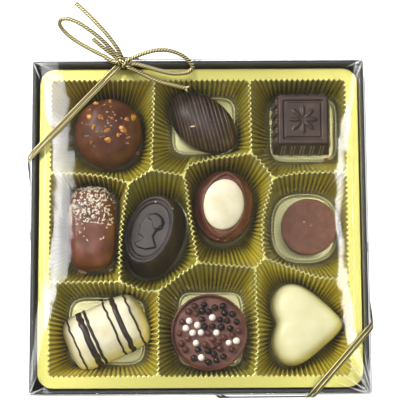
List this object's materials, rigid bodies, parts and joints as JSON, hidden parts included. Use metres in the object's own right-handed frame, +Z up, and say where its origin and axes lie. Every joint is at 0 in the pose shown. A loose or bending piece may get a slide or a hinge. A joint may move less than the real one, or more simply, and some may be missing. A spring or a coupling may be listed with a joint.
{
  "type": "box of chocolate pralines",
  "caption": "Square gift box of assorted chocolate pralines in a fluted gold tray under a clear lid, closed by a gold elastic bow.",
  "frame": {"origin": "middle of the box's footprint, on the surface that the box stands on", "axes": "+Z up through the clear lid, +Y towards the edge where the bow is tied, +X to the right seen from above with that edge at the top"},
  "size_m": [0.1426, 0.1649, 0.0395],
  "materials": {
    "dark_card": "dark grey glossy coated card",
    "gold_tray": "thin vacuum-formed plastic with a pale gold metallised face",
    "clear_film": "clear glossy folded film",
    "milk_chocolate": "milk chocolate, satin where moulded, softer where dipped",
    "dark_chocolate": "dark chocolate with a satin face",
    "white_chocolate": "creamy white chocolate with a soft satin face",
    "gold_cord": "elastic cord wrapped in pale gold metallic thread"
  },
  "bodies": {
    "root": {"box_base": "dark_card", "tray": "gold_tray", "lid": "clear_film", "nut_truffle": "milk_chocolate", "threaded_praline": "dark_chocolate", "square_praline": "dark_chocolate", "coconut_log": "milk_chocolate", "cameo_praline": "dark_chocolate", "inlaid_praline": "milk_chocolate", "white_inlay": "white_chocolate", "round_praline": "milk_chocolate", "striped_log": "white_chocolate", "sprinkle_cup": "milk_chocolate", "heart": "white_chocolate", "elastic_strand_1": "gold_cord", "elastic_strand_2": "gold_cord", "bow_knot": "gold_cord", "bow_loop_left": "gold_cord", "bow_tail_left": "gold_cord", "bow_short_end": "gold_cord", "bow_loop_right": "gold_cord", "bow_tail_right": "gold_cord"}
  },
  "joints": []
}
